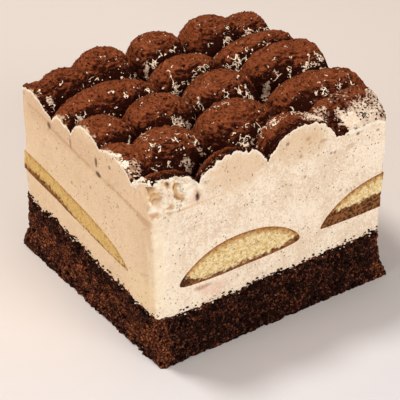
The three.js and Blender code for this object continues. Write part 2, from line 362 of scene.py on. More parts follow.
# the dark chocolate sponge under it all
sponge = {
    "height": 18.6, "rise": 1.2, "ragged": 0.7, "raggedSize": 4,
    "dipFront": 1.5, "liftLeft": 1.1,  # the join sinks along the front side and climbs on the left
    "flareRight": 3.0, "flareLeft": 2.3, "flareFront": 1.9, "flareHeight": 13, "bulgeRight": 0.9,
    "crag": 0.5, "cragSize": 3.4,
    "spacing": 0.34,  # between the points of its surface
    "crumb": 0.75, "crumbSize": 1.15,  # fine lumps
    "holeSize": 1.7, "holeDepth": 0.75, "holeReach": 0.55,
    "fringe": 0.55,  # how far crumbs stand up into the mousse
    "dark": (0.028, 0.0078, 0.0045), "brown": (0.24, 0.068, 0.034), "rust": (0.48, 0.135, 0.05),
    # the pale speck colour is painted highlights on the crumbs; the near-black hole colour is painted shade
    # in the holes and in the gaps between crumbs
    "speckHighlight": (0.46, 0.28, 0.19), "hole": (0.004, 0.002, 0.0018),
    "grainSize": 0.4, "cellSize": 1.0, "speckSize": 1.1, "patchSize": 3.5, "blotchSize": 4.2,
    "bump": 0.9, "gloss": 0.06,
}


def joinZ(x, y):  # where sponge and mousse meet, along the edge of the plan
    size = sponge["raggedSize"]
    slope = sponge["rise"] * (x + y) / (portion["width"] + portion["depth"])
    bend = sponge["liftLeft"] * ramp(-x, 30, 38) * ramp(y, -4, 6) * ramp(-y, -30, -20)
    bend = bend - sponge["dipFront"] * ramp(-y, 30, 38) * ramp(x, -40, -35) * ramp(-x, -34, 0, 0.3)
    return sponge["height"] + slope + bend + sponge["ragged"] * noise(x / size, y / size, 0.5)


def spongeWall():  # rings of points up the cut sides, with their crumb and holes
    u, v = planEdge(sponge["spacing"])
    fringe = sponge["fringe"] * layered(u, v, 3.0, 1.1, 2)
    share = np.linspace(0, 1, round(sponge["height"] / sponge["spacing"]))[:, None]
    z = share * (joinZ(u, v) + fringe)
    size = sponge["cragSize"]
    foot = np.clip(1 - z / sponge["flareHeight"], 0, 1) ** 2
    crag = sponge["crag"] * noise(u / size, v / size, z / size) * (1 - 0.4 * foot)
    lean = sideLean(u, v, z) + sponge["bulgeRight"] * (u > 0) * ramp(1 - share, 0.02, 0.2)
    flare = np.where(u < 0, sponge["flareLeft"], sponge["flareRight"])
    x = u * (1 + (flare * foot + lean) / halfWidth)
    y = v * (1 + sponge["flareFront"] * foot / halfDepth)
    crumb = sponge["crumb"] * layered(x, y, z, sponge["crumbSize"], 2, seed=2)
    hole = 1 - ramp(nearestDot(x, y, z, sponge["holeSize"], 3), 0.1, sponge["holeReach"])
    hole *= ramp(noise(x / 3, y / 3, z / 3 + 40), -0.5, 0.3)
    out = crag + crumb - sponge["holeDepth"] * hole
    out -= 0.3 * (1 - ramp(z, 0, 0.8)) + 0.3 * ramp(share, 0.97, 1)  # worn lower and upper edges
    onSideX = np.abs(u) > halfWidth - portion["cornerRadius"]
    onSideY = np.abs(v) > halfDepth - portion["cornerRadius"]
    away = np.stack([np.sign(u) * onSideX, np.sign(v) * onSideY])
    away = away / np.maximum(np.hypot(*away), 1)
    return x + away[0] * out, y + away[1] * out, z, crumb, hole


def spongeWarmth(x, y, z):  # how much browner it is: on the left side and at both front corners
    left = ramp(-x, 36, 40) * (ramp(z, 1, 5) * (1 - ramp(z, 9, 14)) + 0.6 * ramp(y, 30, 38) + 0.25)
    corners = 1.3 * ramp(-x, 36, 40) * ramp(-y, 34, 37) + 0.7 * ramp(x, 37, 40) * ramp(-y, 30, 37)
    return np.clip(left + corners, 0, 1.3)


def makeSponge():
    x, y, z, crumb, hole = spongeWall()
    rows, count = x.shape
    under, upper = [np.stack([0.9 * x[row], 0.9 * y[row], np.full(count, level)], -1)
                    for row, level in ((0, 0.0), (-1, sponge["height"] - 0.2))]
    points = np.concatenate([under, np.stack([x, y, z], -1).reshape(-1, 3), upper])
    piece = makePiece("chocolateSponge", points, tubeFaces(rows + 2, count), spongeMaterial(),
                      ["chocolate_sponge"], sharpOver=70)
    flat = np.zeros(count)
    addFields(piece.data, {
        "holes": np.concatenate([flat, hole.ravel(), flat]),
        "relief": np.concatenate([flat, (crumb / sponge["crumb"]).ravel(), flat]),
        "warmth": spongeWarmth(*points.T),
    })


@cache
def spongeMaterial():
    shade = Shade("darkChocolateSponge")
    lumps = shade.noise(0.75, detail=3, roughness=0.65)
    patches = shade.noise(sponge["patchSize"], detail=2)
    grain = shade.noise(sponge["grainSize"], detail=2, roughness=0.7)
    uneven = shade.wobbled(0.9, 0.3)
    cell = sponge["cellSize"]
    cellTone = shade.node("ShaderNodeTexVoronoi", "Color", Vector=uneven, Scale=1 / (cell * mm))
    # the gaps between the crumbs, painted dark as shade and sunk in the bump
    gaps = shade.ramp(shade.dots(cell, "DISTANCE_TO_EDGE", uneven), 0.2, 0.04)
    warmth = shade.field("warmth")
    # the relief term paints the standing crumbs lighter and their hollows darker: painted light and shade
    tone = shade.weighed((lumps, 0.7), (patches, 0.16), (cellTone, 0.24), (shade.field("relief"), 0.10),
                         (warmth, 0.10))
    colour = shade.mix(shade.ramp(tone, 0.50, 0.69), sponge["dark"], sponge["brown"])
    blotches = shade.minus(shade.noise(sponge["blotchSize"], detail=2), 0.5)
    rust = shade.ramp(shade.plus(tone, blotches), 0.63, 0.76)
    rust = shade.times(rust, shade.ramp(warmth, 0.0, 0.5, 0.4, 1.0))
    colour = shade.mix(rust, colour, sponge["rust"])
    # painted highlights: pale specks on the crumbs
    speckHighlight = shade.spots(sponge["speckSize"], 0.24, 0.13, patches, 0.42, 0.54)
    colour = shade.mix(shade.times(speckHighlight, 0.6), colour, sponge["speckHighlight"])
    colour = shade.mix(shade.ramp(grain, 0.5, 0.38, 0.0, 0.6), colour, sponge["dark"])
    # painted shade: the gaps and holes are darkened almost to black
    colour = shade.mix(shade.times(gaps, 0.85), colour, sponge["hole"])
    colour = shade.mix(shade.ramp(shade.field("holes"), 0.3, 0.8), colour, sponge["hole"])
    height = shade.minus(shade.plus(grain, lumps), shade.times(gaps, 0.7))
    return shade.finish(colour, height, sponge["bump"], 1.0, Specular_IOR_Level=sponge["gloss"])


makeSponge()
print("sponge is made")


# the mousse and its knife-cut sides
mousse = {
    "seamZ": 53.15,  # where the piped dollops stand on the slab
    "knifeWave": 0.28, "knifeWaveSize": 10,
    "spacing": 0.34, "relief": 0.05, "reliefSize": 1.6, "cornerRelief": 0.28,
    "cream": (0.77, 0.59, 0.42), "white": (0.95, 0.81, 0.635), "pore": (0.28, 0.16, 0.08),
    "leftTintAndLight": (0.77, 0.52, 0.29), "leftTintAndLightShare": 0.72,  # the left side is a little yellower, partly its own tint and partly painted warm light on that side
    # rim is a pale cream, used as a painted highlight along the top edge of the cut sides and on the torn
    # patch; umber is painted shade in that patch's cracks
    "rim": (0.97, 0.88, 0.72), "ochre": (0.68, 0.40, 0.16), "umber": (0.26, 0.10, 0.035),
    "poreSize": 1.5, "gloss": 0.1, "rough": 0.55,
}
# the crumbly patch at the top of the front left corner
tornCorner = {
    "x": -40, "z": 60.5, "reachX": 15, "reachZ": 8, "depth": 2.8, "rough": 1.0, "roughSize": 3.4,
}


def tornDepth(x, z):  # how deep that patch is torn into the front side
    across = (x - tornCorner["x"]) / tornCorner["reachX"]
    up = (z - tornCorner["z"]) / tornCorner["reachZ"]
    uneven = 0.4 * noise(x / 2.6, z / 2.2, 3.5) + 0.25 * noise(x / 0.9, z / 0.9, 5.5)
    near = np.sqrt(np.clip(1 - across ** 2 - up ** 2 + uneven, 0, 1))
    size = tornCorner["roughSize"]
    rough = 0.8 * noise(x / size, z / size, 0.5) + 0.7 * noise(x / 1.4, z / 1.1, 7.5)
    return tornCorner["depth"] * near * np.maximum(0.5 + tornCorner["rough"] * rough, 0)


def wallPoint(u, v, z):  # a point of the square plan, carried out to the cut side at height z
    size = mousse["knifeWaveSize"]
    lean = sideLean(u, v, z)
    wave = mousse["knifeWave"] * noise(u / size, v / size, z / size)
    x = u * (1 + lean / halfWidth)
    scale = 1 + wave / halfWidth
    torn = ramp(-v, halfDepth - 5, halfDepth - 1.4) * tornDepth(x, z)
    return x * scale, v * scale + torn


def cutRelief(x, y, z):  # fine drag marks and open bubbles in a cut side
    size = mousse["reliefSize"]
    drag = layered(x, y, z * 0.5, size, 2, seed=4)
    bubble = 1 - ramp(nearestDot(x, y, z, 2.3, 8), 0.05, 0.16)
    corner = ramp(-x, 35, 41) * ramp(-y, 34, 38.5)  # the front left one, crumbled by the knife
    crumbly = mousse["cornerRelief"] * corner * (layered(x, y, z, 0.9, 2, seed=12) - 0.4)
    return mousse["relief"] * (drag - 1) - 0.25 * bubble + crumbly


def wallAway(u, v):  # the direction straight out of the plan's edge, fading to nothing inside
    away = np.stack([np.sign(u) * ramp(np.abs(u), halfWidth - 1.4, halfWidth - 0.45),
                     np.sign(v) * ramp(np.abs(v), halfDepth - 1.4, halfDepth - 0.45)])
    return away / np.maximum(np.hypot(*away), 1)


def cutPoint(u, v, z):  # a finished point of the cut side
    x, y = wallPoint(u, v, z)
    relief = cutRelief(x, y, z)
    away = wallAway(u, v)
    return x + away[0] * relief, y + away[1] * relief, z


# stains and marks on the cut sides: (x, z) in front, (y, z) on the left
stains = {
    "front": [  # along, up, reach along, reach up, colour, how strong
        (-27.9, 55.3, 0.75, 1.3, (0.07, 0.02, 0.01), 1.0),
        (-27.9, 55.3, 2.0, 1.9, (0.74, 0.40, 0.27), 0.45),
        (11, 60.9, 0.8, 0.6, (0.45, 0.26, 0.13), 0.8), (11.5, 60.9, 2.6, 1.6, (0.72, 0.47, 0.28), 0.6),
        (17, 58.3, 1.3, 0.6, (0.52, 0.32, 0.17), 0.75), (3.8, 61.5, 0.55, 0.5, (0.2, 0.11, 0.06), 0.9),
        (27.5, 52.8, 1.4, 0.9, (0.62, 0.42, 0.26), 0.7), (8.6, 55.8, 0.5, 0.5, (0.4, 0.25, 0.14), 0.8),
        (14.9, 53.9, 0.5, 0.4, (0.4, 0.25, 0.14), 0.8), (20, 52.8, 0.45, 0.4, (0.3, 0.17, 0.1), 0.8),
        (21.5, 52.6, 0.4, 0.4, (0.3, 0.17, 0.1), 0.8), (10.3, 48.2, 0.45, 0.5, (0.3, 0.18, 0.1), 0.8),
        (24.2, 38.3, 0.45, 0.45, (0.3, 0.18, 0.1), 0.8), (29.8, 56.3, 0.6, 0.5, (0.16, 0.06, 0.03), 0.9),
        (31.1, 57, 0.45, 0.6, (0.2, 0.08, 0.04), 0.9), (37.5, 54.9, 0.5, 0.4, (0.3, 0.15, 0.08), 0.8),
        (-26, 23, 2.6, 0.7, (0.42, 0.18, 0.10), 0.7), (-22.5, 21, 4.0, 2.2, (0.80, 0.48, 0.36), 0.45),
        (-27, 52.8, 6.5, 0.45, (0.74, 0.46, 0.26), 0.6), (-25, 42, 0.5, 6.5, (0.72, 0.5, 0.32), 0.45),
        (-42.5, 53.8, 1.7, 0.8, (0.55, 0.24, 0.08), 0.8), (-41, 57.8, 1.4, 0.6, (0.4, 0.2, 0.08), 0.8),
        (-35.7, 52.7, 3.2, 0.35, (0.5, 0.3, 0.14), 0.7), (-41.5, 59.7, 1.6, 1.2, (0.70, 0.40, 0.14), 0.7),
        # the two pale tall marks on the next line are a painted highlight down the front left corner
        (-41.2, 36, 1.9, 19, (1.0, 0.87, 0.64), 0.6), (-38, 34, 3.4, 16, (0.98, 0.85, 0.66), 0.4),
        (8, 60, 10, 5, (0.74, 0.52, 0.32), 0.75), (-14, 59, 9, 6, (0.74, 0.51, 0.31), 0.75),
    ],
    "left": [
        (28, 54.6, 8, 0.6, (0.56, 0.33, 0.16), 0.6), (13, 53.2, 9, 0.6, (0.54, 0.31, 0.15), 0.65),
        (-0.5, 53, 8, 0.55, (0.56, 0.33, 0.16), 0.65), (-14, 52.3, 9, 0.7, (0.60, 0.37, 0.19), 0.6),
        (-28, 51.8, 9, 0.65, (0.54, 0.32, 0.16), 0.65), (-36.5, 50.7, 4, 0.9, (0.54, 0.32, 0.16), 0.65),
        (21, 53.5, 0.8, 0.9, (0.14, 0.06, 0.03), 0.95), (7, 54.6, 0.6, 1.3, (0.35, 0.18, 0.09), 0.9),
        (-8.5, 56.1, 0.75, 1.1, (0.10, 0.045, 0.025), 1.0),
        (-9.7, 52.6, 1.6, 0.7, (0.10, 0.045, 0.025), 1.0),
        (-16.2, 58.4, 0.6, 0.6, (0.14, 0.07, 0.04), 0.9), (26, 33, 0.6, 0.5, (0.25, 0.13, 0.07), 0.8),
        (-4, 45, 0.5, 0.5, (0.35, 0.2, 0.12), 0.8), (8, 40, 0.45, 0.5, (0.35, 0.2, 0.12), 0.8),
        (-20, 47, 0.4, 0.5, (0.3, 0.18, 0.1), 0.8), (17, 47.5, 0.5, 0.4, (0.35, 0.2, 0.12), 0.8),
        (-25.5, 62.4, 0.8, 0.8, (0.12, 0.05, 0.03), 0.9), (-28.8, 60.4, 0.9, 0.9, (0.12, 0.05, 0.03), 0.9),
        (-33, 24, 9, 5, (0.86, 0.64, 0.34), 0.4),
        # the first mark on the next line is painted shade on the left side beside the front corner
        (-35.5, 40, 3.0, 16, (0.70, 0.45, 0.25), 0.4), (18, 56, 22, 6, (0.66, 0.42, 0.25), 0.6),
        (-16, 57, 18, 5, (0.68, 0.44, 0.26), 0.4),
    ],
}


def sideShares(x, y):  # how much a point belongs to the front and to the left side
    front = ramp(-y, halfDepth - 4.2, halfDepth - 3)
    front = front * (1 - ramp(-x, 43.1, 43.6) * ramp(y, -38.6, -37.6))  # not round the torn corner
    left = ramp(-x, halfWidth - 1, halfWidth) * (1 - ramp(-y, halfDepth - 1.0, halfDepth + 0.2))
    return front, left


def stainFields(x, y, z):  # the stain colour and its strength at each point
    # the left side starts tinted: partly its own colour, partly painted warm light
    colour = np.ones((len(x), 3)) * mousse["leftTintAndLight"]
    strength = mousse["leftTintAndLightShare"] * sideShares(x, y)[1]

    def cover(tone, amount):
        nonlocal strength
        below = strength * (1 - amount)
        strength = below + amount
        colour[:] += (amount / np.maximum(strength, 1e-6))[:, None] * (np.array(tone) - colour)

    # the torn patch: brighter cream as a painted highlight on its crags, ochre where it is deeper, partly
    # its own colour and partly painted shade, and umber in its cracks and deepest hollows as painted shade
    torn = sideShares(x, y)[0] * tornDepth(x, z) / tornCorner["depth"]
    within = ramp(torn, 0, 0.1)
    streaks = layered(x * 0.55 + 0.3 * z, 0 * x, z, 1.6, 2, seed=9)
    cracks = 1 - ramp(np.abs(layered(x * 0.7, 0 * x, z, 2.2, 2, seed=5)), 0.02, 0.13)
    deep = torn - 0.3 + 0.7 * streaks
    cover(mousse["rim"], 0.9 * within)
    cover(mousse["ochre"], 0.9 * within * ramp(deep, -0.06, 0.16))
    cover(mousse["umber"], 0.8 * within * np.maximum(cracks * ramp(deep, -0.1, 0.2), ramp(deep, 0.4, 0.52)))
    wobble = 0.5 * noise(x / 1.6, y / 1.6, z / 1.6)
    for side, share, along in zip(("front", "left"), sideShares(x, y), (x, y)):
        largeFirst = sorted(stains[side], key=lambda stain: -stain[2] * stain[3])
        for middle, height, reach, up, tone, power in largeFirst:
            r = np.hypot((along - middle) / reach, (z - height) / up) / 1.2 + wobble * 0.6
            cover(tone, share * power * (1 - ramp(r, 0.55, 1.3)))
    return colour, strength


# the piped rows on top and their cocoa
cocoaTop = {
    "baseZ": 53.3, "domeShape": 2.26, "lump": 0.45, "lumpSize": 7, "pitZ": 55.0, "highest": 67.16,
    "sunk": 0.12, "wallRows": 30, "outsideDrop": 12,
    "lobeBlend": 1.2, "pitBlend": 1.0, "crestBlend": 0.4,  # how softly domes, pits and crests meet
    "ripple": 0.3, "rippleSize": 0.75, "rippleRun": 1.9, "spill": 1.5,
    "clod": 0.22, "clodSize": 1.9, "grain": 0.24, "grainSize": 0.8,
    "shadedSlope": {"x": 20.5, "y": -24, "reachX": 6, "reachY": 3.2},  # painted shade on the darkest slope
    "streaksAcross": 1.9, "streaksAlong": 0.42,  # to the mm, of the ripples' colour
    "powderSize": 0.42, "curlSize": 2.3, "dotSize": 1.7, "speckSize": 2.3, "fineSpeckSize": 1.1,
    # the powder's tones: the darkest is painted shade on slopes and creases, the brightest painted
    # highlights
    "light": (0.27, 0.069, 0.024), "middle": (0.13, 0.0285, 0.010), "paintedShade": (0.026, 0.0054, 0.0028),
    "highlight": (0.45, 0.13, 0.046), "pale": (1.0, 0.78, 0.56), "dust": (0.36, 0.165, 0.09),
    "bump": 0.8, "gloss": 0.02, "rough": 1.0,
}
# the lobes of each dollop: x, y, length, width, crest, turn in degrees, squareness
dollops = {
    "dollopA1": [(-29, 30.5, 11.2, 10.8, 63.4, 0, 2), (-38, 31, 9, 10.5, 61.2, 0, 2)],
    "dollopA2": [(-16, 31, 11.8, 11, 66.6, -6, 2)],
    "dollopA3": [(4, 30.5, 11.2, 11, 66.6, 0, 2)],
    "dollopA4": [(24, 30, 11.7, 11.5, 66.4, 0, 2)],
    "dollopA5": [(38, 28.5, 12.5, 11.5, 63.9, 0, 2)],
    "dollopB1": [(-25, 13, 20.5, 10, 65.4, -3, 2)],
    "dollopB2": [(4, 14.5, 14.5, 9.8, 65.4, 0, 2)],
    "dollopB3": [(33, 13.5, 20, 9.8, 65, -7, 2)],
    "dollopC1": [(-37.5, -3.5, 12.5, 12, 65.6, 0, 2)],
    "dollopC2": [(-17.5, -3, 13.2, 10.8, 66.8, 0, 2)],
    "dollopC3": [(5.4, -2, 13.4, 11.2, 67.2, 0, 2)],
    "dollopC4": [(35.5, 0.5, 19.5, 11.8, 67, -14, 2)],
    "dollopD1": [(-26, -20, 13.8, 11.5, 66.6, 0, 2), (-40, -18.5, 10.5, 13.5, 64.6, 0, 2)],
    "dollopD2": [(-1, -19.5, 14.5, 12.4, 67, 0, 2)],
    "dollopD3": [(31.5, -20, 20, 13, 67, -12, 2)],
    "dollopE1": [(-38.5, -38, 13, 10, 65.3, 0, 2)],
    "dollopE2": [(-15.5, -41, 13.6, 12, 66.4, 0, 2)],
    "dollopE3": [(9.3, -36, 13.6, 13.2, 67, 0, 2)],
    "dollopE4": [(33.5, -26, 16.7, 14.5, 65.2, 0, 2.2), (26, -33, 8, 10, 60.5, 0, 2)],
}
# where cream lies bare or the powder is thin: x, y, reach along x and y, turn, strength
thinPowder = [
    (-43.2, 30, 3.0, 9, 0, 3.4), (-43.2, 13, 2.4, 8, 0, 3.0), (-43.8, -4, 2.4, 8, 0, 3.0),
    (-43.6, -20, 2.4, 9, 0, 3.2), (-40.5, -26, 3.4, 3.6, 0, 2.4), (-41.5, -31, 3.6, 3.0, 0, 2.6),
    (-38.5, 24.5, 2.0, 2.4, 0, 2.2), (-38, 8.3, 2.0, 1.8, 0, 2.0), (-3.7, 24.5, 1.3, 1.4, 0, 2.6),
    (-25.3, -29.7, 3.0, 1.8, 0, 2.3), (-19, -27.1, 1.6, 1.7, 0, 2.4), (-31, -15.3, 1.8, 1.4, 0, 2.2),
    (-14.3, -11.4, 3.2, 1.4, 0, 2.1), (-5.6, -14.9, 1.4, 1.0, 0, 2.2), (-4.7, 2.3, 1.1, 0.9, 0, 2.4),
    (-3.4, 8.5, 1.2, 1.0, 0, 2.4), (-3.5, -30.3, 4.0, 1.2, 0, 1.2), (4, -31.2, 2.2, 1.6, 0, 1.4),
    (25.3, 21.8, 2.2, 1.6, 0, 2.2), (33.7, 22.7, 1.6, 1.4, 0, 2.2), (20.8, -4.8, 2.4, 2.2, 0, 2.3),
    (24.8, -4, 1.0, 1.6, 0, 1.8), (39.5, -7, 2.4, 2.4, 0, 1.1), (22.2, -30.5, 2.6, 4.0, 0, 2.5),
    (13.6, -34, 5.0, 2.0, 0, 1.4), (18.0, -35, 4.2, 4.2, 0, 3.0), (14.5, -36.8, 5.6, 2.6, 0, 3.8),
    (26.4, -34.6, 2.2, 3.2, 0, 3.0),
    (34, -39.5, 11.5, 8.6, 0, 3.8), (41, -32, 3.4, 5, 0, 2.2), (28.4, -37.5, 3.0, 3.4, 0, 2.4),
    (42.3, -38.6, 1.6, 1.0, 0, -4), (24.6, -38.4, 1.8, 1.3, 0, -4), (30, -29, 6, 3.0, 10, 1.3),
    (-36, -38.6, 9, 1.4, 0, 1.2), (-15, -38, 9, 2.0, 0, 1.0),
]
# where the cream shows through in curls: x, y, reach, how many
curls = [
    (-1.8, 22.8, 1.6, 1.0), (-3.5, 8.5, 2.0, 1.0), (-6.7, 9.8, 1.6, 0.8), (2.9, 7.6, 2.8, 1.2),
    (7.5, 8.6, 2.6, 1.2), (20, 10.0, 4.2, 1.1), (24.9, 10.9, 2.2, 0.8), (25.3, 22, 2.6, 1.0),
    (33.7, 22.5, 2.4, 1.0), (38, 21.5, 2.2, 1.0), (39, -7, 3.2, 0.6), (35.8, -7.4, 2.2, 0.7),
    (10.2, -10.1, 3.2, 1.4), (-2.1, -15.8, 2.2, 1.3), (-5.7, -15.0, 2.2, 1.1), (-5.3, -5.2, 2.4, 1.1),
    (-31, -15.5, 3.0, 1.0), (-14.3, -11.6, 3.6, 1.1), (-26.9, -20.9, 3.6, 1.3), (-32.1, -22.5, 3.0, 1.3),
    (-22.1, -24, 4.0, 0.8), (28.5, -24.1, 6.0, 0.5), (4.8, -31, 3.2, 1.2), (1.8, -30.3, 3.0, 1.1),
    (-7.6, -28.5, 3.6, 0.6), (-2.8, -30.3, 3.2, 0.6), (13.6, -33.9, 4.4, 1.5), (10.8, -30.3, 3.0, 1.0),
    (-36.2, 13.2, 1.6, 1.0), (-37.9, 8.3, 2.4, 1.0), (-37.2, -6.6, 2.4, 0.8), (-36.5, -14.6, 2.6, 0.8),
    (37.1, -22.9, 5.0, 0.4), (-24, 23, 5, 0.3), (-15, 5, 5, 0.3),
]
# shallow places where a crease at the cut edge is filled with cream: x, y, reach, height
filledCreases = [
    (-42, 9.5, 5.5, 59.6), (-42, 21, 3.5, 58.2), (-43, -11.5, 5, 60.0), (-43, -30.5, 4.5, 60.6),
]


def turned(x, y, degrees):  # the same place, measured along axes that are turned anticlockwise
    c, s = math.cos(math.radians(degrees)), math.sin(math.radians(degrees))
    return x * c + y * s, y * c - x * s


def lobeHeight(lobe, x, y):  # its dome, running on downwards outside, and the distance from its middle
    middleX, middleY, length, width, crest, turn, square = lobe
    along, across = turned(x - middleX, y - middleY, turn)
    r = (np.abs(along / length) ** square + np.abs(across / width) ** square) ** (1 / square)
    lift = (crest - cocoaTop["baseZ"]) * np.sqrt(np.clip(1 - r ** cocoaTop["domeShape"], 0, 1))
    outside = cocoaTop["outsideDrop"] * np.maximum(r - 1, 0)
    return cocoaTop["baseZ"] + lift - outside, r * math.sqrt(length * width)


def softMax(a, b, reach):
    return np.maximum(a, b) + np.maximum(reach - np.abs(a - b), 0) ** 2 / (4 * reach)


def softMin(a, b, reach):
    return -softMax(-a, -b, reach)


def pipedTop(x, y):  # height, owning dollop and distance from the middle of its lobe
    heights, spans = [], []
    for lobes in dollops.values():
        height, span = lobeHeight(lobes[0], x, y)
        for lobe in lobes[1:]:
            other, otherSpan = lobeHeight(lobe, x, y)
            span = np.where(other > height, otherSpan, span)
            height = softMax(height, other, cocoaTop["lobeBlend"])
        heights.append(height)
        spans.append(span)
    heights = np.stack(heights)
    owner = heights.argmax(0)
    span = np.take_along_axis(np.stack(spans), owner[None], 0)[0]
    return heights.max(0), owner, span


def powderRelief(x, y, owner, span):  # the ripples, clods and grains of the powder
    bend = 0.8 * noise(x / 2.5, y / 2.5, 3.5)
    run = cocoaTop["rippleRun"]
    ripple = noise(span / cocoaTop["rippleSize"] + bend, x / run + 3 * owner, y / run)
    relief = cocoaTop["ripple"] * ripple * ramp(span, 1.0, 5.0)
    relief += cocoaTop["clod"] * layered(x, y, 6.5, cocoaTop["clodSize"], 2, seed=6)
    return relief + cocoaTop["grain"] * layered(x, y, 2.5, cocoaTop["grainSize"], 1, seed=7)


def topHeight(x, y):  # the finished top: domes, pits, wrinkles and powder clods
    dome, owner, span = pipedTop(x, y)
    lift = np.clip((dome - cocoaTop["baseZ"]) / 3, 0, 1)
    size = cocoaTop["lumpSize"]
    height = dome + cocoaTop["lump"] * noise(x / size, y / size, 0.5) * lift
    pit = cocoaTop["pitZ"] + 0.5 * noise(x / 3, y / 3, 8.5)
    for middleX, middleY, reach, level in filledCreases:
        near = 1 - ramp(np.hypot(x - middleX, y - middleY), 0.3 * reach, reach)
        pit = pit + (level - cocoaTop["pitZ"]) * near
    height = softMax(height, pit, cocoaTop["pitBlend"])
    height += powderRelief(x, y, owner, span)
    return softMin(height - cocoaTop["sunk"], cocoaTop["highest"], cocoaTop["crestBlend"])


def powderCover(x, y):  # above 0.5 covered with cocoa, below -0.5 bare cream, ragged between
    cover = np.full(x.shape, 1.6)
    for middleX, middleY, reachX, reachY, turn, strength in thinPowder:
        along, across = turned(x - middleX, y - middleY, turn)
        cover -= strength * (1 - ramp(np.hypot(along / reachX, across / reachY), 0.25, 1.15))
    return cover


def curlShare(x, y):
    share = np.zeros(x.shape)
    for middleX, middleY, reach, amount in curls:
        share += amount * (1 - ramp(np.hypot(x - middleX, y - middleY), 0.4 * reach, 1.25 * reach))
    return share


def calmOwners(owner):  # smooths the borders, and gives each dollop one patch without diagonal touches
    names = np.unique(owner)
    rows, columns = owner.shape
    for _ in range(4):
        votes = []
        for name in names:
            padded = np.pad(owner == name, 1, mode="edge").astype(int)
            votes.append(sum(padded[j:j + rows, i:i + columns] for j in range(3) for i in range(3)))
        owner = names[np.argmax(votes, 0)]
    for _ in range(40):
        a, b, c, d = owner[:-1, :-1], owner[:-1, 1:], owner[1:, :-1], owner[1:, 1:]
        touching = ((a == d) & (b != a) & (c != a)) | ((b == c) & (a != b) & (d != b))
        if not touching.any():
            break
        owner[:-1, :-1][touching] = b[touching]
    return owner


def patchEdge(owned):  # the nodes round a patch of cells, anticlockwise, and how many edges it has
    rows, columns = owned.shape
    nodes = np.arange((rows + 1) * (columns + 1)).reshape(rows + 1, columns + 1)
    padded = np.pad(owned, 1)
    sides = [
        (padded[:-2, 1:-1], nodes[:-1, :-1], nodes[:-1, 1:]),
        (padded[1:-1, 2:], nodes[:-1, 1:], nodes[1:, 1:]),
        (padded[2:, 1:-1], nodes[1:, 1:], nodes[1:, :-1]),
        (padded[1:-1, :-2], nodes[1:, :-1], nodes[:-1, :-1]),
    ]
    follow = {}
    for beside, start, end in sides:
        outer = owned & ~beside
        follow.update(zip(start[outer].tolist(), end[outer].tolist()))
    first = next(iter(follow))
    loop = [first]
    while follow[loop[-1]] != first:
        loop.append(follow[loop[-1]])
    return loop, len(follow)


def topGrid():  # a grid on the finished top: u and v in the square plan, x, y and z on the surface
    u = np.linspace(-halfWidth, halfWidth, round(portion["width"] / mousse["spacing"]) + 1)
    v = np.linspace(-halfDepth, halfDepth, round(portion["depth"] / mousse["spacing"]) + 1)
    u, v = roundCorners(*np.meshgrid(u, v))
    z = np.full(u.shape, 60.0)
    for _ in range(3):  # the cut sides lean, so height and place settle together
        x, y, z = cutPoint(u, v, z)
        z = topHeight(x, y)
    x, y, z = cutPoint(u, v, z)
    return {"u": u, "v": v, "x": x, "y": y, "z": z}


def topFields(grid):  # what the cocoa's material reads at each point of the top
    v, x, y, z = [grid[key] for key in "vxyz"]
    slopeX = np.gradient(z, axis=1) / np.gradient(x, axis=1)
    slopeY = np.gradient(z, axis=0) / np.gradient(y, axis=0)
    toFront = slopeY / np.sqrt(1 + slopeX ** 2 + slopeY ** 2)
    low = 1 - np.clip((z - 57) / 8, 0, 1)
    _, owner, span = pipedTop(x, y)
    crease = np.full(x.shape, 9.0)  # how far off the next dollop is, towards the front
    for steps in range(15, 0, -1):
        apart = owner[steps:] != owner[:-steps]
        crease[steps:] = np.where(apart, steps * mousse["spacing"], crease[steps:])
    # cocoa up to the cut edge in front, in a thin line where the cream lies bare behind it
    rim = ramp(-v, halfDepth - 1.5, halfDepth - 0.7) * ramp(-x, -12, -8)
    rim = np.maximum(rim, ramp(-v, halfDepth - 0.45, halfDepth - 0.25) * ramp(-x, -24, -21))
    # painted shade: darker on slopes facing the front, in low places, near creases, along the front rim, on
    # the darkest slope and along the front of the left dollops
    paintedShade = ramp(0.9 * toFront + 0.7 * low + 0.25 * noise(x / 4, y / 4, 1.5), 0.12, 0.95)
    paintedShade = paintedShade + 0.35 * ramp(crease, 4.0, 1.0) + 0.5 * rim
    slopeAt = cocoaTop["shadedSlope"]
    off = np.hypot((x - slopeAt["x"]) / slopeAt["reachX"], (y - slopeAt["y"]) / slopeAt["reachY"])
    paintedShade = paintedShade + 0.8 * (1 - ramp(off, 0.5, 1.2))
    paintedShade = paintedShade + 0.8 * ramp(-v, halfDepth - 5, halfDepth - 1) * ramp(-x, -13, -8)
    return {
        "powder": powderCover(x, y) * (1 - rim) + 0.9 * rim,
        "ripple": span,
        "relief": powderRelief(x, y, owner, span) / 0.4,
        "paintedShade": paintedShade,
        "fleck": 0.3 * ramp(crease, 4.8, 1.2) + 0.2 * ramp(toFront, 0, 0.6) + 0.8 * curlShare(x, y),
    }


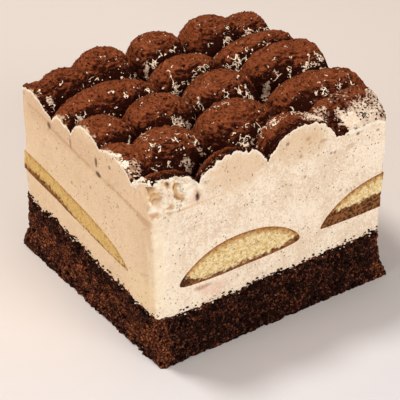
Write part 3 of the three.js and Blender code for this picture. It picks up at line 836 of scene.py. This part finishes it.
def makeDollop(name, owned, grid, fields):  # its part of the top, with walls down to the slab
    rows, columns = grid["x"].shape
    u, v = grid["u"].ravel(), grid["v"].ravel()
    surface = np.stack([grid[key].ravel() for key in "xyz"], -1)
    loop, edges = patchEdge(owned)
    if len(loop) != edges:
        print(name, "has", edges - len(loop), "loose edges")
    nodes = np.arange(rows * columns).reshape(rows, columns)
    quads = np.stack([nodes[:-1, :-1], nodes[:-1, 1:], nodes[1:, 1:], nodes[1:, :-1]], -1)[owned]
    used = np.unique(quads)
    local = np.zeros(rows * columns, int)
    local[used] = np.arange(len(used))
    points, depth, source = [surface[used]], [np.zeros(len(used))], [used]
    share = np.linspace(0, 1, cocoaTop["wallRows"] + 1)
    column = {}  # from each node of the edge, its points downwards
    total = len(used)
    for node in loop:
        x, y, z = surface[node]
        if node // columns in (0, rows - 1) or node % columns in (0, columns - 1):
            level = mousse["seamZ"] + (z - mousse["seamZ"]) * share[-2::-1]
            new = np.stack(cutPoint(u[node], v[node], level), -1)
        else:
            new = np.array([[x, y, mousse["seamZ"]]])
        column[node] = [local[node], *range(total, total + len(new))]
        total += len(new)
        points.append(new)
        depth.append(z - new[:, 2])
        source.append(np.full(len(new), node))
    faces = [local[quads], np.array([[column[node][-1] for node in loop[::-1]]])]
    points, depth, source = [np.concatenate(part) for part in (points, depth, source)]
    piece = makePiece(name, points, faces + dollopWalls(loop, column, rows, columns), creamMaterial(),
                      [name.replace("dollop", "dollop_").lower()])
    joined = {key: value.ravel()[source] for key, value in fields.items()}
    addFields(piece.data, sideFields(points, depth, joined))


def dollopWalls(loop, column, rows, columns):  # quads down a cut side, one tall face down to a crease
    walls, skirts = [], {}
    for a, b in zip(loop, loop[1:] + loop[:1]):
        one, two = column[a], column[b]
        alongX = abs(a - b) == 1 and a // columns in (0, rows - 1)
        alongY = abs(a - b) == columns and a % columns in (0, columns - 1)
        if len(one) == len(two) > 2 and (alongX or alongY):
            walls += [(one[i + 1], two[i + 1], two[i], one[i]) for i in range(len(one) - 1)]
        else:
            ring = (*two[::-1], *one)
            skirts.setdefault(len(ring), []).append(ring)
    return [np.array(group) for group in ([walls] if walls else []) + list(skirts.values())]


def sideFields(points, depth, fields):  # the fields with the cocoa ended at the top edge of the cut sides
    x, y, z = points.T
    spill = cocoaTop["spill"] * np.clip(layered(x, y, 7.5, 1.5, 2, seed=11), 0, 1) * ramp(-y, 34, 38)
    below = np.maximum(depth - 0.1 - spill, 0)
    colour, strength = stainFields(x, y, z)
    # painted highlight: a pale line along the top edge of the cut sides, just under the cocoa
    edge = 0.9 * (1 - ramp(below, 0.5, 1.4)) * (depth > 0.02)
    return {
        **fields,
        "powder": fields["powder"] - 7 * below,
        "fleck": fields["fleck"] * (depth < 0.05),
        "paintedShade": fields["paintedShade"] * (1 - 0.5 * np.clip(depth, 0, 1)),
        "depth": depth,
        "stain": colour + edge[:, None] * (np.array(mousse["rim"]) - colour),
        "stained": np.maximum(strength, edge),
    }


def makeDollops():
    grid = topGrid()
    x, y = [grid[key] for key in "xy"]
    centreX, centreY = [(a[:-1, :-1] + a[1:, 1:] + a[:-1, 1:] + a[1:, :-1]) / 4 for a in (x, y)]
    owner = calmOwners(pipedTop(centreX, centreY)[1])
    fields = topFields(grid)
    for number, name in enumerate(dollops):
        makeDollop(name, owner == number, grid, fields)
    return {"x": x, "y": y, "z": grid["z"], **fields}


def creamColour(shade, fine):  # cream drawn down by the knife, with its stains and open pores
    drawn = shade.noise(0.8, detail=2, place=shade.stretched((1, 1, 0.35)))
    tint = shade.weighed((shade.noise(11.0, detail=2), 0.2), (fine, 0.5),
                         (shade.noise(2.2, detail=3), 0.15), (drawn, 0.15))
    cream = shade.mix(shade.ramp(tint, 0.43, 0.56), mousse["cream"], mousse["white"])
    stained = shade.times(shade.field("stained"), shade.ramp(fine, 0.4, 0.6, 1.0, 0.88))
    cream = shade.mix(stained, cream, shade.fieldColour("stain"))
    pores = shade.spots(mousse["poreSize"], 0.19, 0.11, shade.noise(4.0), 0.49, 0.54)
    return shade.mix(shade.times(pores, 0.85), cream, mousse["pore"]), pores


def cocoaColour(shade):  # streaks that follow the ripples, painted highlights on brighter crests and painted shade on the dark slopes
    across, alongX, alongY = [
        shade.times(shade.field("ripple"), cocoaTop["streaksAcross"]),
        *[shade.times(shade.node("ShaderNodeSeparateXYZ", axis, Vector=shade.place),
                      cocoaTop["streaksAlong"] / mm) for axis in "XY"],
    ]
    streakPlace = shade.node("ShaderNodeCombineXYZ", "Vector", X=across, Y=alongX, Z=alongY)
    streak = shade.node("ShaderNodeTexNoise", "Fac", Vector=streakPlace, Scale=1.0, Detail=2.0,
                        Roughness=0.5)
    powder = shade.noise(cocoaTop["powderSize"], detail=2, roughness=0.6)
    # painted light and shade: the relief term lightens the crests and darkens the hollows, the painted
    # shade term darkens the shaded slopes
    tone = shade.weighed((streak, 0.5), (shade.noise(1.1, detail=3, roughness=0.65), 0.25), (powder, 0.25),
                         (shade.field("relief"), 0.05), (shade.field("paintedShade"), -0.19))
    cocoa = shade.mix(shade.ramp(tone, 0.31, 0.43), cocoaTop["paintedShade"], cocoaTop["middle"])
    cocoa = shade.mix(shade.ramp(tone, 0.40, 0.52), cocoa, cocoaTop["light"])
    cocoa = shade.mix(shade.ramp(tone, 0.53, 0.68), cocoa, cocoaTop["highlight"])
    return cocoa, shade.plus(shade.times(streak, 0.8), powder)


def powderShare(shade):  # where powder and specks of it cover the cream, and how dusty the cream is
    ragged = shade.plus(shade.noise(1.7, detail=3, roughness=0.6), shade.noise(0.9, detail=1))
    ragged = shade.times(shade.minus(ragged, 1.0), 5.0)
    lying = shade.plus(shade.field("powder"), ragged)
    upper = shade.ramp(shade.field("depth"), 0.3, 0.05)
    dusted = shade.times(shade.ramp(lying, -2.6, 0.1, 0.13, 0.75), upper)
    gathered = shade.noise(3.2, detail=1)
    specks = shade.ramp(shade.dots(cocoaTop["speckSize"], place=shade.wobbled(1.1, 0.5)), 0.3, 0.22)
    specks = shade.times(specks, shade.ramp(gathered, 0.42, 0.48))
    small = shade.spots(cocoaTop["fineSpeckSize"], 0.21, 0.13, gathered, 0.45, 0.52)
    specks = shade.times(shade.larger(specks, small), shade.times(shade.ramp(lying, -5.0, -2.2), upper))
    return shade.larger(shade.ramp(lying, -0.2, 0.3), specks), dusted


def curlMarks(shade):  # pale curls, loops and dots where the cream shows through the cocoa
    fleck = shade.field("fleck")
    squiggle = shade.noise(cocoaTop["curlSize"], detail=0.6, distortion=0.9)
    band = shade.ramp(shade.math("ABSOLUTE", shade.minus(squiggle, 0.5)), 0.026, 0.014)
    netting = shade.dots(cocoaTop["curlSize"], "DISTANCE_TO_EDGE", shade.wobbled(2.0, 0.5))
    loops = shade.ramp(netting, 0.06, 0.03)
    patch = shade.plus(shade.noise(2.4, detail=1.5), shade.times(fleck, 0.2))
    band = shade.times(band, shade.ramp(patch, 0.72, 0.75))
    loops = shade.times(loops, shade.ramp(patch, 0.685, 0.71))
    dotPatch = shade.plus(shade.noise(5.0), shade.times(fleck, 0.22))
    dots = shade.spots(cocoaTop["dotSize"], 0.15, 0.1, dotPatch, 0.58, 0.61)
    return shade.larger(shade.larger(band, loops), dots)


@cache
def creamMaterial():
    shade = Shade("creamAndCocoa")
    fine = shade.noise(0.6, detail=3, roughness=0.65)
    cream, pores = creamColour(shade, fine)
    cocoa, clods = cocoaColour(shade)
    covered, dusted = powderShare(shade)
    marks = curlMarks(shade)
    covered = shade.times(covered, shade.minus(1.0, marks))
    bareCream = shade.mix(dusted, cream, cocoaTop["dust"])
    bareCream = shade.mix(marks, bareCream, cocoaTop["pale"])
    colour = shade.mix(covered, bareCream, cocoa)
    roughness = shade.ramp(covered, 0.0, 1.0, mousse["rough"], cocoaTop["rough"])
    gloss = shade.ramp(covered, 0.0, 1.0, mousse["gloss"], cocoaTop["gloss"])
    height = shade.plus(shade.times(clods, covered), shade.times(marks, 0.7))
    height = shade.plus(height, shade.times(fine, 0.35))
    height = shade.minus(height, shade.times(pores, 0.3))
    return shade.finish(colour, height, cocoaTop["bump"], roughness, Specular_IOR_Level=gloss)


def creamFields(count, powder, paintedShade=0.0, fleck=-9.0, stain=(1, 1, 1), stained=0.0):  # away from the top
    flat = np.zeros(count)
    return {"powder": flat + powder, "ripple": flat, "relief": flat, "paintedShade": flat + paintedShade,
            "fleck": flat + fleck, "depth": flat + 9, "stain": np.ones((count, 3)) * stain,
            "stained": flat + stained}


def makeSlab():
    u, v = planEdge(mousse["spacing"])
    count = len(u)
    foot = joinZ(u, v) - 0.25 + 0.3 * layered(u, v, 9.0, 1.3, 2)
    rows = round((mousse["seamZ"] - sponge["height"]) / 0.4)
    z = foot + np.linspace(0, 1, rows)[:, None] * (mousse["seamZ"] - foot)
    points = np.stack(cutPoint(u, v, z), -1)
    inner = points[0] * (0.9, 0.9, 0) + (0, 0, sponge["height"] + 0.6)
    points = np.concatenate([inner, points.reshape(-1, 3)])
    piece = makePiece("mousseSlab", points, tubeFaces(rows + 1, count), creamMaterial(),
                      ["mousse_slab"])
    for name, size in fingers.items():  # room for the fingers
        cutter = fingerCutter(name, size)
        hollow = piece.modifiers.new(name, "BOOLEAN")
        hollow.operation, hollow.solver, hollow.object = "DIFFERENCE", "MANIFOLD", cutter
        bpy.context.view_layer.update()
        made = bpy.data.meshes.new_from_object(piece.evaluated_get(bpy.context.evaluated_depsgraph_get()))
        piece.modifiers.clear()
        piece.data = made
        bpy.data.objects.remove(cutter)
    piece.data.set_sharp_from_angle(angle=math.radians(50))
    at = np.empty(len(piece.data.vertices) * 3, np.float32)
    piece.data.vertices.foreach_get("co", at)
    x, y, z = (at.reshape(-1, 3) / mm - (portion["shiftX"], 0, 0)).T.astype(float)
    stain, stained = stainFields(x, y, z)
    addFields(piece.data, creamFields(len(x), powder=-9, fleck=0, stain=stain, stained=stained))


def fingerCutter(name, size):  # a whole finger, a little thicker, to be cut out of the mousse
    rows, count = 41, 160
    stations = size["y"] + size["long"] * np.sin(np.linspace(-0.5, 0.5, rows) * math.pi * 0.995)
    rings = []
    for y in stations:
        x, z = fingerRing(size, y, count, grow=finger["gap"])
        rings.append(np.stack([x, np.full(count, y), z], -1))
    mesh = bpy.data.meshes.new(name + "Room")
    points = (np.concatenate(rings) + (portion["shiftX"], 0, 0)) * mm
    polygons = [face.tolist() for group in tubeFaces(rows, count) for face in np.atleast_2d(group)]
    mesh.from_pydata(points.tolist(), [], polygons)
    cutter = bpy.data.objects.new(name + "Room", mesh)
    bpy.context.scene.collection.objects.link(cutter)
    return cutter


# the sponge fingers in the mousse
finger = {
    "topShape": 0.72, "underShape": 0.25, "endShape": 3.2,
    "spacing": 0.42, "hiddenSpacing": 5,  # between its rings, where they show and where they don't
    "gap": 0.04,  # between a finger and the mousse
    "holeSize": 1.25, "holeDepth": 0.5, "poreSize": 0.7, "patchSize": 1.3,
    "inside": (0.76, 0.52, 0.22), "pale": (0.90, 0.72, 0.40), "crust": (0.48, 0.22, 0.055),
    "rind": (0.24, 0.10, 0.03), "ochre": (0.67, 0.40, 0.11),
    "soaked": (0.25, 0.08, 0.020), "dark": (0.05, 0.018, 0.009), "bump": 0.3, "gloss": 0.08,
}
# middle, half length and half width, and how far each rises and drops from its middle line;
# thinCrust is by how many mm its crust is thinner, and the shares say how ochre and how dark it is
fingers = {
    "spongeFingerLeft": {
        "node": "sponge_finger_left", "x": -57.4, "skew": 2.4, "y": 19, "z": 28.1,
        "wide": 21, "long": 48, "rise": 10.6, "drop": 0.3, "tilt": 1.9,
        "thinCrust": 1.3, "ochreShare": 0.75, "darkShare": 0, "darkTips": 0,
    },
    "spongeFingerFront": {
        "node": "sponge_finger_front", "x": -12.5, "skew": 2.6, "y": 0, "z": 27,
        "wide": 23.6, "long": 62, "rise": 10.4, "drop": 2.5, "tilt": 0,
        "thinCrust": 0, "ochreShare": 0, "darkShare": 0, "darkTips": 1,
    },
    "spongeFingerRight": {
        "node": "sponge_finger_right", "x": 40.5, "skew": 1, "y": 2, "z": 27,
        "wide": 25.4, "long": 64, "rise": 12.4, "drop": 0.9, "tilt": 0,
        "thinCrust": 0, "ochreShare": 0, "darkShare": 0.06, "darkTips": 0,
    },
}


def fingerMiddle(size, y):  # middle x and z and how far the end has tapered
    along = (y - size["y"]) / size["long"]
    taper = np.clip(1 - np.abs(along) ** finger["endShape"], 1e-3, 1) ** (1 / finger["endShape"])
    return size["x"] + size["skew"] * (0.5 + y / portion["depth"]), size["z"] + size["tilt"] * along, taper


def fingerSides(size, x, y):  # its upper and lower side over a point
    midX, midZ, taper = fingerMiddle(size, y)
    reach = np.clip(1 - ((x - midX) / (size["wide"] * taper)) ** 2, 0, 1)
    return (midZ + size["rise"] * taper * reach ** finger["topShape"],
            midZ - size["drop"] * taper * reach ** finger["underShape"])


def nearSide(size):  # the side of the block that it lies nearer
    return -halfWidth if size["x"] < 0 else halfWidth


def fingerRing(size, y, count, grow=0.0, cut=False):  # its section at y, evenly stepped round
    midX, midZ, taper = fingerMiddle(size, y)
    outerTip = 0 if size["x"] > 0 else math.pi
    angle = outerTip - np.linspace(0, 2 * math.pi, 721)
    reach = np.clip(1 - np.cos(angle) ** 2, 0, 1)
    x = midX + np.cos(angle) * (size["wide"] * taper + grow)
    upper = size["rise"] * taper * reach ** finger["topShape"] + grow
    under = size["drop"] * taper * reach ** finger["underShape"] + grow
    z = midZ + np.where(np.sin(angle) > 0, upper, -under) * (reach > 1e-6)
    if cut:  # only what lies inside the block, closed along its cut side
        side = nearSide(size)
        inside = np.abs(x) < np.abs(wallPoint(side, y, z)[0])
        if not inside.all():
            x, z = x[inside], z[inside]
            closeZ = np.linspace(z[-1], z[0], 60)
            x = np.concatenate([x, wallPoint(side, y, closeZ)[0]])
            z = np.concatenate([z, closeZ])
    gone = np.concatenate([[0], np.cumsum(np.hypot(np.diff(x), np.diff(z)))])
    at = np.linspace(0, gone[-1], count + 1)[:-1]
    return np.interp(at, gone, x), np.interp(at, gone, z)


def fingerCap(x, z, v, rings):  # the cut end: rings of points shrinking to the middle, on the block's side
    midX, midZ = x.mean(), z.mean()
    share = np.linspace(1, 0.03, rings)[:, None]
    capX, capZ = midX + share * (x - midX), midZ + share * (z - midZ)
    u = capX / (1 + sideLean(capX, v, capZ) / halfWidth)
    capY = wallPoint(u, v, capZ)[1]
    inward = -np.sign(v) * fingerHoles(capX, capY, capZ) * (share < 0.99)
    return np.stack([capX, capY + inward, capZ], -1)


def fingerHoles(x, y, z):
    hole = 1 - ramp(nearestDot(x, y, z, finger["holeSize"], 5), 0.08, 0.5)
    return finger["holeDepth"] * hole * ramp(noise(x / 2, y / 2, z / 2 + 9), -0.7, 0.2) + 0.06


def fingerStations(size):  # where its rings lie, from the first that is inside the block to the back
    y = np.linspace(-halfDepth, halfDepth, 400)
    midX, midZ, taper = fingerMiddle(size, y)
    innerTip = np.abs(midX) - size["wide"] * taper
    start = y[innerTip < np.abs(wallPoint(nearSide(size), y, midZ)[0]) - 0.25][0]
    isSideCut = abs(size["x"]) + size["wide"] > halfWidth
    step = finger["spacing"] if isSideCut else finger["hiddenSpacing"]
    return np.linspace(start, halfDepth, round((halfDepth - start) / step) + 1)


def fingerRings(size):  # from its front end to its back end, with the holes of its cut sides
    stations = fingerStations(size)
    x, z = fingerRing(size, halfDepth, 400, cut=True)
    around = np.hypot(np.diff(x, append=x[0]), np.diff(z, append=z[0])).sum()
    count = round(around / finger["spacing"])
    rings = []
    for y in stations:
        x, z = fingerRing(size, y, count, cut=True)
        onCut = np.abs(x - wallPoint(nearSide(size), y, z)[0]) < 0.02
        away = np.sign(size["x"]) * onCut * fingerHoles(x, y, z)
        rings.append(np.stack([x - away, np.full(count, y), z], -1))
    capRings = round(0.8 * size["rise"] / finger["spacing"])
    if stations[0] == -halfDepth:  # it is cut open in front too
        front = fingerCap(rings[0][:, 0], rings[0][:, 2], -halfDepth, capRings)
        rings = [*front[::-1], *rings[1:]]
    back = fingerCap(rings[-1][:, 0], rings[-1][:, 2], halfDepth, capRings)
    return [*rings[:-1], *back]


def makeFinger(name, size):
    rings = fingerRings(size)
    points = np.concatenate(rings)
    faces = tubeFaces(len(rings), len(rings[0]))
    piece = makePiece(name, points, faces, fingerMaterial(), [size["node"]])
    x, y, z = points.T
    upper, lower = fingerSides(size, x, y)
    tips = 0.3 * ramp(-x, 28, 34.5) + 0.15 * ramp(x, 7, 10.5)
    addFields(piece.data, {
        "crustGap": upper - z + size["thinCrust"],  # mm under the upper side
        "soakGap": z - lower - soakHeight(name, x, y),  # mm above the soaked part
        "holes": fingerHoles(x, y, z) / finger["holeDepth"],
        "ochre": np.full(len(x), size["ochreShare"]),
        "tip": size["darkShare"] + size["darkTips"] * tips,
    })


def soakHeight(name, x, y):  # how far the coffee has risen from the underside
    if name == "spongeFingerRight":
        return 5.0 + 0.6 * noise(x / 4, y / 9, 0)
    if name == "spongeFingerLeft":
        return 1.9 * ramp(y, 2, 22) + 0.2
    return 1.2 + 2.4 * ramp(-x, 27, 33) + 1.2 * ramp(x, 3, 9) + 0.3 * noise(x / 3, y / 9, 0)


@cache
def fingerMaterial():
    shade = Shade("spongeFinger")
    patches = shade.noise(finger["patchSize"], detail=3, roughness=0.6)
    wobble = shade.times(shade.minus(shade.noise(finger["patchSize"], detail=3), 0.5), 4.0)
    colour = shade.mix(shade.ramp(patches, 0.42, 0.56), finger["inside"], finger["pale"])
    colour = shade.mix(shade.field("ochre"), colour, finger["ochre"])
    pores = shade.ramp(shade.dots(finger["poreSize"]), 0.34, 0.14)
    colour = shade.mix(shade.times(pores, 0.45), colour, finger["crust"])
    crustGap = shade.plus(shade.field("crustGap"), shade.times(wobble, 0.8))
    colour = shade.mix(shade.ramp(crustGap, 3.0, 0.5, 0.0, 0.95), colour, finger["crust"])
    colour = shade.mix(shade.ramp(crustGap, 0.6, 0.1, 0.0, 0.7), colour, finger["rind"])
    soaked = shade.ramp(shade.plus(shade.field("soakGap"), wobble), 0.7, -0.6)
    colour = shade.mix(shade.times(soaked, 0.95), colour, finger["soaked"])
    darker = shade.plus(shade.noise(0.8, detail=2), shade.field("tip"))
    specks = shade.times(soaked, shade.ramp(darker, 0.52, 0.64))
    colour = shade.mix(shade.times(specks, 0.9), colour, finger["dark"])
    # painted shade: the holes of the cut sides are darkened
    colour = shade.mix(shade.ramp(shade.field("holes"), 0.4, 1.0, 0.0, 0.65), colour, finger["soaked"])
    height = shade.minus(shade.noise(0.45, detail=2), pores)
    return shade.finish(colour, height, finger["bump"], 0.95, Specular_IOR_Level=finger["gloss"])


for name, size in fingers.items():
    makeFinger(name, size)
print("sponge fingers are laid")


makeSlab()
print("mousse is cut round the fingers")
top = makeDollops()
print("dollops are piped and dusted")


# loose crumbs: how many, and the smallest and largest radius
crumbs = {
    "powder": 7000, "powderFrom": 0.13, "powderTo": 0.36,
    "specks": 500, "specksFrom": 0.14, "specksTo": 0.34,
    "sponge": 480, "spongeFrom": 0.18, "spongeTo": 0.7,
    "cream": 300, "creamFrom": 0.14, "creamTo": 0.45,
    "edge": 260, "edgeFrom": 0.16, "edgeTo": 0.42,  # along the top of the front side
    "torn": 50, "tornFrom": 0.35, "tornTo": 1.0,  # along the top of the left side
    "spongeRise": (-0.2, 1.3), "creamRise": (-1.6, 0.1),  # how far off the join they lie
    "flat": 0.7, "seed": 12,
}


def scatter(name, at, radius, material, fields, random):  # an uneven 20-sided lump round each point
    golden = (1 + math.sqrt(5)) / 2
    corners = [(0, a, b * golden) for a in (-1, 1) for b in (-1, 1)]
    corners = np.array([c[k:] + c[:k] for c in corners for k in range(3)]) / math.hypot(1, golden)
    gaps = np.linalg.norm(corners[:, None] - corners[None], axis=-1)
    near = (gaps > 0.1) & (gaps < 1.2)
    sides = [(i, j, k) for i in range(12) for j in range(i) for k in range(j)
             if near[i, j] and near[j, k] and near[i, k]]
    sides = [(i, j, k) if np.linalg.det(corners[[i, j, k]]) > 0 else (i, k, j) for i, j, k in sides]
    count = len(at)
    stretch = random.uniform(0.7, 1.3, (count, 1, 3)) * (1, 1, crumbs["flat"])
    uneven = random.uniform(0.75, 1.2, (count, 12, 1))
    points = at[:, None] + corners * stretch * uneven * radius[:, None, None]
    faces = (np.array(sides) + 12 * np.arange(count)[:, None, None]).reshape(-1, 3)
    piece = makePiece(name, points.reshape(-1, 3), [faces], material, None, sharpOver=75)
    addFields(piece.data, {key: np.repeat(value, 12, axis=0) for key, value in fields.items()})


def radii(random, kind, count):  # many small ones and few large ones
    low, high = crumbs[kind + "From"], crumbs[kind + "To"]
    return low + (high - low) * random.uniform(0, 1, count) ** 2


def onTop(random, count):  # random places on the piped top, with its fields there
    rows, columns = top["x"].shape
    i, j = random.integers(2, rows - 3, count), random.integers(2, columns - 3, count)
    s, t = random.uniform(0, 1, (2, count))
    places = {}
    for key, a in top.items():
        left, right = [a[i, column] * (1 - s) + a[i + 1, column] * s for column in (j, j + 1)]
        places[key] = left * (1 - t) + right * t
    return places


def topEdge(random, count, start, end, side):  # places along the top edge of the front or the left side
    along = random.uniform(start, end, count)
    inward = random.uniform(0.1, 1.4 if side == "left" else 0.7, count)
    u, v = (inward - halfWidth, along) if side == "left" else (along, inward - halfDepth)
    x, y, _ = cutPoint(u, v, np.full(count, 60.0))
    z = topHeight(x, y)
    x, y, _ = cutPoint(u, v, z)
    return np.stack([x, y, topHeight(x, y) - random.uniform(0, 0.2, count)], -1)


def besideJoin(random, kind):  # places round the cut sides, close above or below the join
    low, high = crumbs[kind + "Rise"]
    count = crumbs[kind]
    u, v = planEdge(0.05)
    pick = random.integers(0, len(u), count)
    u, v = u[pick], v[pick]
    rise = low + (high - low) * random.uniform(0, 1, count) ** 2.2
    if kind == "cream":  # hanging from its upper end instead
        rise = high + (low - high) * random.uniform(0, 1, count) ** 1.7
    return np.stack(cutPoint(u, v, joinZ(u, v) + rise), -1), radii(random, kind, count)


def makePowderLumps(random):  # on the covered top, on the bare cream and along the cut edge
    spots = onTop(random, 4 * crumbs["powder"])
    thick = spots["powder"] + random.uniform(-0.6, 0.6, len(spots["x"]))
    chosen = np.flatnonzero(thick > 0.4)[:crumbs["powder"]]
    bare = np.flatnonzero((thick < 0.2) & (thick > -2.2))[:crumbs["specks"]]
    radius = np.concatenate([radii(random, "powder", len(chosen)), radii(random, "specks", len(bare))])
    chosen = np.concatenate([chosen, bare])
    at = np.stack([spots[key][chosen] for key in "xyz"], -1)
    at[:, 2] = np.minimum(at[:, 2] + 0.1 * radius, cocoaTop["highest"] + 0.02 - radius)
    # painted shade of the top where each lump lies, varied at random
    paintedShade = spots["paintedShade"][chosen] + random.uniform(-0.4, 0.9, len(chosen))
    edge = topEdge(random, crumbs["edge"], -halfWidth + 20, halfWidth - 18, "front")
    at, radius = np.concatenate([at, edge]), np.concatenate([radius, radii(random, "edge", len(edge))])
    paintedShade = np.concatenate([paintedShade, random.uniform(0, 1.3, len(edge))])
    scatter("cocoaLumps", at, radius, creamMaterial(), creamFields(len(at), 9, paintedShade), random)


def makeSpongeCrumbs(random):  # drawn up into the mousse by the knife
    at, radius = besideJoin(random, "sponge")
    fields = {"holes": np.zeros(len(at)), "relief": random.uniform(-1, 1, len(at)),
              "warmth": random.uniform(0, 0.6, len(at))}
    scatter("spongeCrumbs", at, radius, spongeMaterial(), fields, random)


def makeCreamCrumbs(random):  # smeared on the sponge, and torn along the top of the left side
    at, radius = besideJoin(random, "cream")
    torn = topEdge(random, crumbs["torn"], -halfDepth + 0.5, -halfDepth + 21, "left")
    at, radius = np.concatenate([at, torn]), np.concatenate([radius, radii(random, "torn", len(torn))])
    fields = creamFields(len(at), powder=-9, stain=mousse["rim"], stained=0.5)
    scatter("creamCrumbs", at, radius, creamMaterial(), fields, random)


def makeCrumbs():
    random = np.random.default_rng(crumbs["seed"])
    makePowderLumps(random)
    makeSpongeCrumbs(random)
    makeCreamCrumbs(random)


makeCrumbs()
print("crumbs are scattered")
